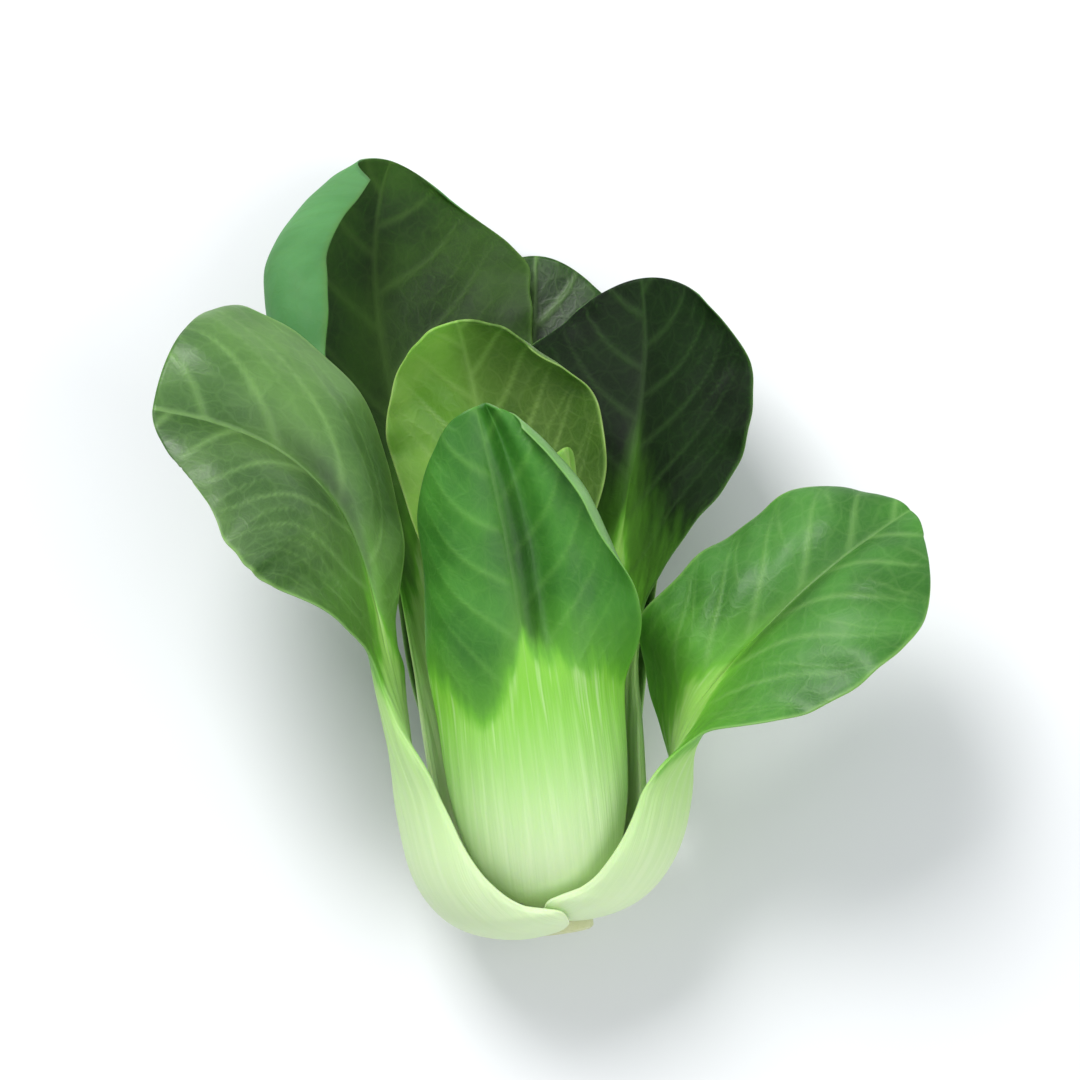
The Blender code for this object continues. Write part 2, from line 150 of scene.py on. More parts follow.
class Shell(Enum):
    """Where on the stem plate a leaf starts: distance from the axis, height up it, and its lean outward."""

    OUTERMOST = (8.7, 1.2, ((0, 80), (8, 62), (18, 30), (30, 6)))
    OUTER = (8.5, 2.3, ((0, 80), (8, 62), (18, 30), (30, 6)))
    OUTER_SPREAD = (8.5, 3.6, ((0, 80), (8, 62), (18, 36), (28, 19)))
    MIDDLE = (6.5, 7.0, ((0, 70), (8, 50), (18, 20), (29, 4)))
    INNER = (4.5, 11.0, ((0, 56), (7, 38), (16, 13), (26, 2)))
    HEART = (2.4, 15.0, ((0, 34), (8, 20), (18, 5)))

    @property
    def ring(self) -> float:
        """Distance from the axis."""
        return self.value[0]

    @property
    def height(self) -> float:
        """Distance up the axis."""
        return self.value[1]

    @property
    def lean(self) -> Points:
        """Keys of the lean outward over the stalk's belly."""
        return list(self.value[2])


class Nodes:
    """A short way to add and join shader nodes in one tree."""

    def __init__(self, tree: bpy.types.NodeTree) -> None:
        """Keeps the tree that the nodes go into."""
        self.tree = tree
        self.count = 0

    def add(self, kind: str, name: str = "", **settings: object) -> bpy.types.Node:
        """Adds a node.

        Args:
            kind: The node's type, without its "ShaderNode" start.
            name: A label for whoever reads the tree.
            **settings: Properties of the node.

        Returns:
            The node.
        """
        node = self.tree.nodes.new("ShaderNode" + kind)
        node.label = name
        node.location = (220 * (self.count % 8), -260 * (self.count // 8))
        self.count += 1
        for key, value in settings.items():
            setattr(node, key, value)
        return node

    def join(self, source: bpy.types.NodeSocket, target: bpy.types.NodeSocket) -> None:
        """Links an output to an input."""
        self.tree.links.new(source, target)

    def put(self, target: bpy.types.NodeSocket, value: object) -> None:
        """Links the value if it is a socket and sets it otherwise."""
        if isinstance(value, bpy.types.NodeSocket):
            self.join(value, target)
        else:
            target.default_value = value

    def sum(self, operation: str, *values: object, clamp: bool = False) -> bpy.types.NodeSocket:
        """Adds a Math node on the values and returns its output."""
        node = self.add("Math", operation.lower(), operation=operation, use_clamp=clamp)
        for socket, value in zip(node.inputs, values):
            self.put(socket, value)
        return node.outputs[0]

    def mix(self, factor: object, first: object, second: object, blend: str = "MIX") -> bpy.types.NodeSocket:
        """Adds a colour Mix node and returns its output."""
        node = self.add("Mix", "colour", data_type="RGBA", blend_type=blend)
        self.put(node.inputs["Factor"], factor)
        self.put(node.inputs["A"], first)
        self.put(node.inputs["B"], second)
        return node.outputs["Result"]

    def scaled(self, vector: bpy.types.NodeSocket, scale: tuple[float, float, float]) -> bpy.types.NodeSocket:
        """Adds a node that stretches a vector and returns its output."""
        node = self.add("VectorMath", "stretch", operation="MULTIPLY")
        self.join(vector, node.inputs[0])
        node.inputs[1].default_value = scale
        return node.outputs[0]

    def noise(self, vector: bpy.types.NodeSocket, scale: float, detail: float) -> bpy.types.NodeSocket:
        """Adds a Noise node, centred on zero, and returns its output."""
        node = self.add("TexNoise", "noise")
        self.join(vector, node.inputs["Vector"])
        node.inputs["Scale"].default_value = scale
        node.inputs["Detail"].default_value = detail
        return self.sum("SUBTRACT", node.outputs["Fac"], 0.5)

    def ramp(self, value: object, low: float, high: float) -> bpy.types.NodeSocket:
        """Adds a smooth step of value from low to high and returns its output."""
        node = self.add("MapRange", "step", interpolation_type="SMOOTHSTEP")
        self.put(node.inputs["Value"], value)
        node.inputs["From Min"].default_value = low
        node.inputs["From Max"].default_value = high
        return node.outputs["Result"]

    def cell_walls(self, vector: bpy.types.NodeSocket, scale: float, thick: float) -> bpy.types.NodeSocket:
        """Adds a flat net of cells and returns how near each point is to a wall between them, from 0 to 1."""
        cells = self.add("TexVoronoi", "cells", feature="DISTANCE_TO_EDGE", voronoi_dimensions="2D")
        self.join(vector, cells.inputs["Vector"])
        cells.inputs["Scale"].default_value = scale
        return self.sum("SUBTRACT", 1.0, self.ramp(cells.outputs["Distance"], 0.0, thick))

    def read(self, name: str, output: str = "Fac") -> bpy.types.NodeSocket:
        """Adds a node that reads an attribute of the mesh and returns its output."""
        return self.add("Attribute", name, attribute_name=name).outputs[output]

    def relief(self, height: bpy.types.NodeSocket, strength: float, depth: float) -> bpy.types.NodeSocket:
        """Adds a Bump node, with its depth in metres, and returns its normal."""
        bump = self.add("Bump", "relief")
        bump.inputs["Strength"].default_value = strength
        bump.inputs["Distance"].default_value = depth
        self.join(height, bump.inputs["Height"])
        return bump.outputs["Normal"]


class TissuePattern:
    """The pattern that all leaves share, as a node group: the turn to green, the veins and the skin."""

    NAME = "leaf_tissue_pattern"
    INPUTS = (
        ("Leaf Place", "NodeSocketVector"),
        ("Past Green", "NodeSocketFloat"),
        ("Vein", "NodeSocketFloat"),
    )
    OUTPUTS = ("Green", "Deep Green", "Net", "Mottle", "Streak", "Height")
    STREAK_STRETCH = (0.9, 0.03, 1.0)
    FINE_STREAK_STRETCH = (2.6, 0.05, 1.0)
    FEATHER_STRETCH = (0.45, 0.10, 1.0)
    FEATHER_REACH = 16.0
    TURN_BEGINS, TURN_ENDS, DEEP_ENDS = -9.0, 9.0, 26.0
    WOBBLE_SCALE = 0.22
    MOTTLE_SCALE = 0.055
    NET, SKIN = (0.26, 0.16), (0.85, 0.25)  # cells to a millimetre, and how thick their walls are

    @classmethod
    def group(cls) -> bpy.types.NodeTree:
        """Builds the group on its first use.

        Returns:
            The node group.
        """
        made = bpy.data.node_groups.get(cls.NAME)
        if made:
            return made
        tree = bpy.data.node_groups.new(cls.NAME, "ShaderNodeTree")
        for name, kind in cls.INPUTS:
            tree.interface.new_socket(name, in_out="INPUT", socket_type=kind)
        for name in cls.OUTPUTS:
            tree.interface.new_socket(name, in_out="OUTPUT", socket_type="NodeSocketFloat")
        nodes = Nodes(tree)
        given = tree.nodes.new("NodeGroupInput").outputs
        result = tree.nodes.new("NodeGroupOutput").inputs
        place = given["Leaf Place"]
        streak = nodes.noise(nodes.scaled(place, cls.STREAK_STRETCH), 1.0, 3.0)
        fine_streak = nodes.noise(nodes.scaled(place, cls.FINE_STREAK_STRETCH), 1.0, 2.0)
        feather = nodes.noise(nodes.scaled(place, cls.FEATHER_STRETCH), 1.0, 3.0)
        past = nodes.sum("ADD", given["Past Green"], nodes.sum("MULTIPLY", feather, cls.FEATHER_REACH))
        green = nodes.ramp(past, cls.TURN_BEGINS, cls.TURN_ENDS)
        deep = nodes.ramp(past, 0.0, cls.DEEP_ENDS)
        warp = nodes.add("VectorMath", "warped place", operation="ADD")
        nodes.join(nodes.scaled(place, (1.0, 0.8, 1.0)), warp.inputs[0])
        wobble = nodes.add("TexNoise", "wobble", noise_dimensions="2D")
        nodes.join(place, wobble.inputs["Vector"])
        wobble.inputs["Scale"].default_value = cls.WOBBLE_SCALE
        nodes.join(nodes.scaled(wobble.outputs["Color"], (3.0, 3.0, 0.0)), warp.inputs[1])
        net_lines = nodes.cell_walls(warp.outputs[0], *cls.NET)
        cell_lines = nodes.cell_walls(warp.outputs[0], *cls.SKIN)
        mottle = nodes.noise(place, cls.MOTTLE_SCALE, 4.0)
        blade_height = nodes.sum(
            "ADD",
            nodes.sum("MULTIPLY", given["Vein"], 0.8),
            nodes.sum("ADD", nodes.sum("MULTIPLY", net_lines, 0.14), nodes.sum("MULTIPLY", cell_lines, 0.07)),
        )
        fine_height = nodes.sum("MULTIPLY", fine_streak, 0.5)
        stalk_height = nodes.sum("MULTIPLY_ADD", streak, 0.9, fine_height)
        height = nodes.add("Mix", "height", data_type="FLOAT")
        nodes.join(green, height.inputs["Factor"])
        nodes.join(stalk_height, height.inputs["A"])
        nodes.join(blade_height, height.inputs["B"])
        lines = nodes.sum("MAXIMUM", net_lines, nodes.sum("MULTIPLY", cell_lines, 0.45))
        for name, value in zip(cls.OUTPUTS, (green, deep, lines, mottle, streak, height.outputs["Result"])):
            nodes.join(value, result[name])
        return tree


@dataclass(frozen=True)
class LeafFinish:
    """The colours of one leaf, from the stalk's foot to the blade, the shade painted on it, and how its skin
    shines.
    """

    name: str
    inner: Colour
    inner_deep: Colour
    outer: Colour
    outer_deep: Colour
    vein: Colour = srgb(140, 180, 106)
    foot: Colour = srgb(212, 232, 184)
    stalk: Colour = srgb(148, 200, 92)
    turn: Colour = srgb(104, 172, 50)
    roughness: float = 0.40
    vein_strength: float = 0.36
    net_strength: float = 0.08
    margin_strength: float = 0.4
    # painted shadow: the tint multiplied into the fold beside the midrib, where shade falls
    painted_shadow_tint: Colour = (0.26, 0.34, 0.20, 1.0)
    relief: float = 0.32
    translucency: float = 0.30
    sheen: float = 0.4
    # painted shade: each half of the blade is darkened by its factor, for how the light falls on that side
    low_painted_shade: float = 1.0
    high_painted_shade: float = 1.0

    def material(self) -> bpy.types.Material:
        """Builds the leaf's material.

        Returns:
            The material, which reads the attributes that Leaf.build writes.
        """
        made = bpy.data.materials.new(self.name)
        made.use_nodes = True
        nodes = Nodes(made.node_tree)
        shader = made.node_tree.nodes["Principled BSDF"]
        vein, inner = nodes.read("vein"), nodes.read("inner")
        pattern = nodes.add("Group", "pattern", node_tree=TissuePattern.group())
        nodes.join(nodes.read("leaf_place", "Vector"), pattern.inputs["Leaf Place"])
        nodes.join(nodes.read("past_green"), pattern.inputs["Past Green"])
        nodes.join(vein, pattern.inputs["Vein"])
        out = pattern.outputs
        up_stalk = nodes.sum("MULTIPLY_ADD", out["Streak"], 0.5, nodes.read("up_stalk"))
        stalk = nodes.mix(nodes.ramp(up_stalk, 0.12, 1.05), self.foot, self.stalk)
        stalk = nodes.mix(nodes.ramp(out["Streak"], 0.0, 0.25), stalk, nodes.mix(0.35, stalk, self.foot))
        light = nodes.mix(inner, self.outer, self.inner)
        deep = nodes.mix(inner, self.outer_deep, self.inner_deep)
        blade = nodes.mix(nodes.ramp(out["Mottle"], -0.16, 0.16), deep, light)
        blade = nodes.mix(out["Deep Green"], nodes.mix(0.5, self.turn, light), blade)
        # painted shade: one half of the blade is darkened, for the light that falls less on that side
        if self.low_painted_shade != self.high_painted_shade:
            halves = (self.low_painted_shade,) * 3 + (1.0,), (self.high_painted_shade,) * 3 + (1.0,)
            blade = nodes.mix(1.0, blade, nodes.mix(nodes.read("high_side"), *halves), "MULTIPLY")
        pale = (
            (out["Net"], self.net_strength),
            (vein, self.vein_strength),
            (nodes.read("margin"), self.margin_strength),
        )
        for mask, strength in pale:
            blade = nodes.mix(nodes.sum("MULTIPLY", mask, strength), blade, self.vein)
        # painted shadow in the fold beside the midrib
        shadow = nodes.mix(1.0, blade, self.painted_shadow_tint, "MULTIPLY")
        blade = nodes.mix(nodes.read("valley_painted_shade"), blade, shadow)
        turn = nodes.mix(nodes.ramp(out["Green"], 0.0, 0.55), stalk, self.turn)
        colour = nodes.mix(nodes.ramp(out["Green"], 0.3, 1.0), turn, blade)
        nodes.join(colour, shader.inputs["Base Color"])
        rough = nodes.sum("MULTIPLY_ADD", out["Mottle"], 0.35, self.roughness + 0.10)
        rough = nodes.sum("MULTIPLY_ADD", inner, -0.10, rough, clamp=True)
        nodes.join(rough, shader.inputs["Roughness"])
        nodes.join(nodes.relief(out["Height"], self.relief, 0.5 * MM), shader.inputs["Normal"])
        shader.inputs["Subsurface Weight"].default_value = self.translucency
        shader.inputs["Subsurface Radius"].default_value = (0.7, 1.0, 0.25)
        shader.inputs["Subsurface Scale"].default_value = 0.0022
        shader.inputs["Specular IOR Level"].default_value = self.sheen
        shader.inputs["Coat Weight"].default_value = 0.15 * self.sheen
        shader.inputs["Coat Roughness"].default_value = 0.3
        return made


# painted shade darkens one half of this leaf's blade
OUTER_LEFT = LeafFinish(
    "outer_left_leaf", srgb(88, 126, 62), srgb(62, 98, 44), srgb(122, 164, 106), srgb(98, 142, 86),
    roughness=0.46, high_painted_shade=0.74,
)
OUTER_RIGHT = LeafFinish(
    "outer_right_leaf", srgb(68, 128, 46), srgb(48, 100, 32), srgb(116, 162, 96), srgb(92, 140, 78),
    roughness=0.46, sheen=0.3,
)
BACK = LeafFinish(
    "back_leaf", srgb(40, 70, 26), srgb(26, 50, 17), srgb(112, 156, 94), srgb(88, 132, 74), sheen=0.2,
)
# painted shade darkens both halves of this leaf's blade, the low-azimuth half more
FRONT_LEAF = LeafFinish(
    "front_leaf", srgb(120, 164, 100), srgb(100, 146, 80), srgb(72, 140, 46), srgb(54, 116, 36),
    vein=srgb(112, 168, 76), stalk=srgb(126, 190, 62), low_painted_shade=0.84, high_painted_shade=0.92, sheen=0.3,
)
# inner face partly its own dark green and partly painted shade, for the shade inside the head
REAR_LEFT = LeafFinish(
    "rear_left_leaf", srgb(44, 74, 20), srgb(25, 47, 12), srgb(88, 142, 86), srgb(70, 122, 68),
    vein=srgb(80, 114, 48), roughness=0.55, sheen=0.15,
)
# painted shade: the inner face is painted near-black green, for the deep shade that lies on it
REAR_RIGHT = LeafFinish(
    "rear_right_leaf", srgb(18, 36, 13), srgb(11, 24, 8), srgb(84, 130, 72), srgb(64, 110, 56),
    vein=srgb(60, 88, 44), roughness=0.6, sheen=0.12,
)
# painted shade strongly darkens the low-azimuth half of this leaf's blade
HOOD = LeafFinish(
    "hood_leaf", srgb(134, 180, 78), srgb(106, 156, 56), srgb(136, 182, 88), srgb(108, 158, 64),
    vein=srgb(166, 202, 114), translucency=0.5, low_painted_shade=0.36, sheen=0.3,
)
YOUNG = LeafFinish(
    "young_leaf", srgb(132, 178, 66), srgb(102, 154, 46), srgb(134, 180, 82), srgb(108, 160, 58),
    vein=srgb(170, 200, 118), translucency=0.5,
)


LEVEL: Points = [(0, 0), (100, 0)]


@dataclass
class Leaf:
    """One leaf: a fleshy stalk that widens into a veined blade. Keys are (distance along the leaf, value)."""

    node: str
    azimuth: float
    shell: Shell
    length: float
    neck: float
    half_width: Points
    tip_arc: float
    lean: Points
    cup_low: Points
    finish: LeafFinish
    slot: str = "outer_leaf"
    sway: Points = field(default_factory=LEVEL.copy)
    twist: Points = field(default_factory=LEVEL.copy)
    cup_high: Points | None = None
    curl_high: Points = field(default_factory=LEVEL.copy)
    crease: Points = field(default_factory=LEVEL.copy)
    skew: Points = field(default_factory=LEVEL.copy)
    stalk_thick: float = 5.2
    wave: float = 1.2
    waves: float = 3.0
    wave_phase: float = 0.0
    rests: float = SKIM
    pressed: bool = False
    green_low: Points | None = None  # the halves' turns to green, alike where only the first is given
    green_high: Points | None = None
    vein_pairs: float = 7.0
    columns: int = 76
    rows: int = 190
    blade_thick: float = 0.5
    rib_width: float = 3.2
    groove: float = 0.0
    # painted shadow beside the midrib: place across the half-width, spread and strength, and where along the
    # blade it ends
    valley_painted_shade: tuple[float, float, float] = (0.0, 0.1, 0.0)
    valley_end: float = 0.45
    # how broadly the painted shade passes from one half of the blade to the other
    halves_blend: float = 0.1
    crisp: float = 1.0

    def spine(self) -> tuple[np.ndarray, np.ndarray, np.ndarray, np.ndarray]:
        """Lays out the midrib.

        Returns:
            Distances along it, its points, and the across and inward directions at each.
        """
        along = np.linspace(0.0, self.length, SPINE_STEPS + 1)
        start = math.radians(self.azimuth)
        radial = math.cos(start) * FRONT + math.sin(start) * RIGHT
        sideways = -math.sin(start) * FRONT + math.cos(start) * RIGHT
        curves = (self.shell.lean + self.lean, self.sway, self.twist)
        lean, sway, twist = (np.radians(through(keys, along))[:, None] for keys in curves)
        tangent = np.cos(sway) * (np.cos(lean) * AXIS + np.sin(lean) * radial) + np.sin(sway) * sideways
        inward = np.sin(lean) * AXIS - np.cos(lean) * radial
        across = np.cross(inward, tangent)
        turned = np.cos(twist) * inward + np.sin(twist) * across
        across = np.cos(twist) * across - np.sin(twist) * inward
        steps = (tangent[1:] + tangent[:-1]) / 2 * (self.length / SPINE_STEPS)
        start_point = self.shell.height * AXIS + self.shell.ring * radial
        points = start_point + np.vstack([np.zeros(3), np.cumsum(steps, axis=0)])
        return along, points, across, turned

    def section(
        self, along: np.ndarray, share: np.ndarray, width: np.ndarray, radius: np.ndarray
    ) -> tuple[np.ndarray, np.ndarray]:
        """Bends the cross-section.

        Args:
            along: Distance along the leaf of each point.
            share: Each point's share of the half-width, negative on the low-azimuth side.
            width: The half-width there.
            radius: The midrib's distance from the head's axis there.

        Returns:
            How far each point lies across and inward of the midrib.
        """
        side = np.abs(share)
        stalk = 1 - eased((along - 0.55 * self.neck) / (0.5 * self.neck))
        hug = np.degrees(width / np.maximum(radius, 1.0))
        high = share > 0
        cup = np.where(high, through(self.cup_high or self.cup_low, along), through(self.cup_low, along))
        curl = np.radians(np.where(high, through(self.curl_high, along), 0.0))
        turn = np.radians(cup * (1 - stalk) + hug * stalk)
        fold = np.radians(through(self.crease, along))
        out, up = np.zeros_like(side), np.zeros_like(side)
        for k in range(SECTION_STEPS):
            t = side * (k + 0.5) / SECTION_STEPS
            angle = fold * (1 - eased(t / 0.65)) + turn * t + curl * eased((t - 0.45) / 0.55)
            out += np.cos(angle) * side / SECTION_STEPS
            up += np.sin(angle) * side / SECTION_STEPS
        return np.sign(share) * out * width, up * width

    def thickness(self, along: np.ndarray, share: np.ndarray, width: np.ndarray) -> np.ndarray:
        """Returns the thickness: a crescent in the stalk, then a thin blade with a swollen midrib."""
        swell = through([(0, 0.62), (0.2 * self.neck, 0.95), (0.5 * self.neck, 1.0), (self.neck, 0.6)], along)
        stalk = np.maximum(self.stalk_thick * swell * (1 - 0.80 * np.abs(share) ** 2.2), 1.0)
        left = np.clip((self.length - along) / (self.length - self.neck), 0, 1)
        rib = 2.0 * left**1.4 * np.exp(-((share * width / self.rib_width) ** 2))
        into_blade = eased((along - self.neck + 12) / 26)
        whole = stalk * (1 - into_blade) + (self.blade_thick + rib) * into_blade
        return whole * (1 - 0.45 * eased((np.abs(share) - 0.93) / 0.07))

    def vein_mask(
        self, along: np.ndarray, share: np.ndarray, width: np.ndarray
    ) -> tuple[np.ndarray, np.ndarray]:
        """Draws the side veins, which leave the midrib slanting and curve towards the tip.

        Args:
            along: Distance along the leaf of each point.
            share: Each point's share of the half-width.
            width: The half-width there.

        Returns:
            How much vein each point has, from 0 to 1, and the phase between one side vein and the next.
        """
        slant, curve, first, stagger = 0.95, 0.35, self.neck - 26, 0.45
        reach = np.abs(share) * width
        seed = math.radians(self.azimuth) + 0.03 * self.length
        wander = 1.3 * np.sin(0.19 * reach + 2 * seed) + 1.1 * np.sin(0.11 * along + 0.16 * reach + 3 * seed)
        root = along - slant * reach - curve * reach * np.abs(share) + wander
        pitch = (self.length - first) / self.vein_pairs
        count = (root - first) / pitch + np.where(share > 0, stagger, 0.0) + 0.12 * np.sin(seed + root / 17)
        off_line = np.abs(count - np.round(count)) * pitch * 0.65
        thick = 0.26 + 0.55 * (1 - np.abs(share)) ** 1.2
        side = np.exp(-((off_line / thick) ** 2)) * (1 - 0.7 * eased((np.abs(share) - 0.3) / 0.7))
        fork = count * 2 + 1.1 * (np.abs(share) - 0.35) + 0.2 * np.sin(2.3 * seed + reach / 5)
        off_fork = np.abs(fork - 1 - 2 * np.round((fork - 1) / 2)) * pitch * 0.33
        forks = np.exp(-((off_fork / 0.3) ** 2)) * eased((np.abs(share) - 0.28) / 0.3)
        forks = forks * (1 - 0.8 * eased((np.abs(share) - 0.6) / 0.4))
        left = np.clip((self.length - along) / (self.length - self.neck), 0, 1)
        middle = np.exp(-((reach / (0.35 + 1.9 * left**1.3)) ** 2))
        blade = eased((along - self.neck + 8) / 18)
        return blade * np.maximum(np.maximum(0.8 * side, 0.45 * forks), middle), count

    def surface(self) -> dict[str, np.ndarray]:
        """Computes the leaf's middle surface on a grid of rows from root to tip.

        Returns:
            Arrays over the grid: points, inward, thick, along, share, width and vein.
        """
        distances, midrib, across, inward = self.spine()
        u = np.linspace(0, 1, self.rows + 1)[:, None]
        share = np.sin(np.linspace(-1, 1, self.columns + 1) * math.pi / 2 * 0.8)[None, :]
        share = share / share.max() * np.ones_like(u)
        edge = u * (self.length - self.tip_arc)
        along = u * self.length - (u * self.length - edge) * share**2
        width = through(self.half_width, edge) * (1 + through(self.skew, edge) * np.sign(share))

        def at(rows: np.ndarray) -> np.ndarray:
            """Reads vectors along the midrib at each point's distance."""
            return np.stack([np.interp(along, distances, rows[:, i]) for i in range(3)], axis=-1)

        centre, side_way, in_way = at(midrib), at(across), at(inward)
        off_axis = centre - (centre @ AXIS)[..., None] * AXIS
        radius = np.linalg.norm(off_axis, axis=-1)
        out, up = self.section(along, share, width, radius)
        blade = eased((along - self.neck) / 20)
        beyond = (along - self.neck) / (self.length - self.neck)
        ripple = np.sin(2 * math.pi * self.waves * beyond + self.wave_phase + 1.3 * np.sign(share))
        frill = np.sin(5.3 * self.waves * beyond * math.pi + 2.1 * self.wave_phase + 2.2 * np.sign(share))
        up = up + blade * np.abs(share) ** 3 * (self.wave * ripple + 0.28 * self.wave * frill)
        vein, count = self.vein_mask(along, share, width)
        puff = 0.5 * (1 - np.cos(2 * math.pi * count))
        up = up + 0.5 * blade * (puff - 0.5) * np.abs(share) ** 0.5 * (1 - np.abs(share) ** 4)
        up = up + self.groove * blade * np.exp(-(((share - 0.22) / 0.12) ** 2))
        fluted = eased(along / 12) * (1 - eased((along - 0.7 * self.neck) / (0.5 * self.neck)))
        up = up + 0.10 * fluted * np.cos(2 * math.pi * share * width / 3.4 + 0.4 * np.sin(along / 9))
        free = centre + side_way * out[..., None] + in_way * up[..., None]
        angle = (share * width / np.maximum(radius, 1.0))[..., None]
        hugging = centre - off_axis + off_axis * np.cos(angle) + np.cross(AXIS, off_axis) * np.sin(angle)
        loose = eased((along - 0.3 * self.neck) / (0.4 * self.neck))[..., None]
        points = hugging + (free - hugging) * loose
        thick = self.thickness(along, share, width)
        floor = thick / 2 + self.rests - CUT_END_HEIGHT
        if self.pressed:
            floor = floor - BELLY_FREE * (1 - eased((along - 0.5 * self.neck) / (0.4 * self.neck)))
        points[..., 2] = floor + eased_up(points[..., 2] - floor, SOFTNESS)
        return {
            "points": points, "inward": in_way, "thick": thick,
            "along": along, "share": share, "width": width, "vein": vein,
        }

    def past_green(self, along: np.ndarray, share: np.ndarray) -> np.ndarray:
        """Returns how far each point is past the turn to green, in millimetres times the turn's crispness."""
        usual = [(0, self.neck + 20), (0.12, self.neck + 9), (0.4, self.neck - 1), (1, self.neck - 8)]
        side = np.abs(share)
        low = through(self.green_low or usual, side)
        high = through(self.green_high or self.green_low or usual, side)
        return self.crisp * (along - np.where(share > 0, high, low))

    def valley_shade(self, along: np.ndarray, share: np.ndarray) -> np.ndarray:
        """Returns how much painted shadow lies in the fold beside the midrib, which fades out towards the
        tip.
        """
        place, spread, strength = self.valley_painted_shade
        beyond = (along - self.neck) / (self.length - self.neck)
        window = eased((beyond - 0.02) / 0.2) * (1 - eased((beyond - self.valley_end) / 0.4))
        return strength * window * np.exp(-(((share - place) / spread) ** 2))

    def build(self, origin: np.ndarray) -> bpy.types.Object:
        """Models the leaf from a grid.

        Args:
            origin: Where the middle of the cut end is, in millimetres.

        Returns:
            The leaf, with the attributes that its material reads.
        """
        deselect_all()
        bpy.ops.mesh.primitive_grid_add(x_subdivisions=self.columns, y_subdivisions=self.rows, size=1.0)
        sheet = bpy.context.object
        sheet.name = sheet.data.name = self.node + "_dressed"
        shape = self.surface()
        middle = ((shape["points"] + origin) * MM).reshape(-1, 3)
        put_places(sheet.data, middle)
        self.split_along_veins(sheet)
        thick = shape["thick"].ravel()
        depth = sheet.vertex_groups.new(name="thickness")
        for index, value in enumerate(thick / thick.max()):
            depth.add([index], float(value), "REPLACE")
        bpy.ops.object.modifier_add(type="SOLIDIFY")
        body = sheet.modifiers[-1]
        body.thickness = float(thick.max()) * MM
        body.offset = 0.0
        body.vertex_group = depth.name
        bpy.ops.object.modifier_apply(modifier=body.name)
        self.settle(sheet)
        self.mark(sheet, shape, middle)
        bpy.ops.object.shade_smooth()
        sheet.data.materials.clear()
        sheet.data.materials.append(self.finish.material())
        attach(sheet, "root")
        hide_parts(self.node)
        log.info("%s: %d faces", sheet.name, len(sheet.data.polygons))
        return sheet

    def split_along_veins(self, sheet: bpy.types.Object) -> None:
        """Halves the grid's squares the way that the side veins run, so that thin veins stay unbroken."""
        bpy.ops.object.mode_set(mode="EDIT")
        bpy.ops.mesh.select_mode(type="FACE")
        bpy.ops.mesh.select_all(action="DESELECT")
        bpy.ops.object.mode_set(mode="OBJECT")
        wide = self.columns + 1
        for face in sheet.data.polygons:
            face.select = face.vertices[0] % wide + face.vertices[2] % wide < self.columns
        bpy.ops.object.mode_set(mode="EDIT")
        bpy.ops.mesh.quads_convert_to_tris(quad_method="FIXED_ALTERNATE", ngon_method="BEAUTY")
        bpy.ops.mesh.select_all(action="INVERT")
        bpy.ops.mesh.quads_convert_to_tris(quad_method="FIXED", ngon_method="BEAUTY")
        bpy.ops.mesh.select_mode(type="VERT")
        bpy.ops.object.mode_set(mode="OBJECT")

    def settle(self, sheet: bpy.types.Object) -> None:
        """Presses flat what would reach under the surface that the head lies on."""
        places = places_of(sheet.data)
        places[:, 2] = np.maximum(places[:, 2], 0.0)
        put_places(sheet.data, places)

    def mark(self, sheet: bpy.types.Object, shape: dict[str, np.ndarray], middle: np.ndarray) -> None:
        """Writes the attributes that the material reads.

        Args:
            sheet: The thickened leaf, whose first vertices are one face and the next as many the other.
            shape: What surface() returned.
            middle: The middle surface's points, in metres.
        """
        mesh = sheet.data
        count = len(middle)
        raised = ((places_of(mesh)[:count] - middle) * shape["inward"].reshape(-1, 3)).sum(axis=1)
        first_is_inner = 1.0 if raised.mean() > 0 else 0.0
        inner = np.concatenate([np.full(count, first_is_inner), np.full(count, 1 - first_is_inner)])
        along, share = shape["along"], shape["share"]
        values = {
            "past_green": self.past_green(along, share),
            "vein": shape["vein"],
            "up_stalk": along / self.neck,
            "margin": eased((np.abs(share) - 0.965) / 0.03),
            # which half of the blade each point is on, for the painted shade on the halves
            "high_side": eased(share / self.halves_blend + 0.5),
            # how much painted shadow lies in the fold beside the midrib
            "valley_painted_shade": self.valley_shade(along, share),
        }
        for name, value in values.items():
            write_attribute(mesh, name, np.tile(value.ravel(), 2))
        write_attribute(mesh, "inner", inner)
        across = (share * shape["width"]).ravel()
        seed = np.full(count, 0.37 * self.azimuth)
        place = np.tile(np.stack([across, along.ravel(), seed], axis=1), (2, 1))
        place[:, 2] += 40 * inner
        write_attribute(mesh, "leaf_place", place)


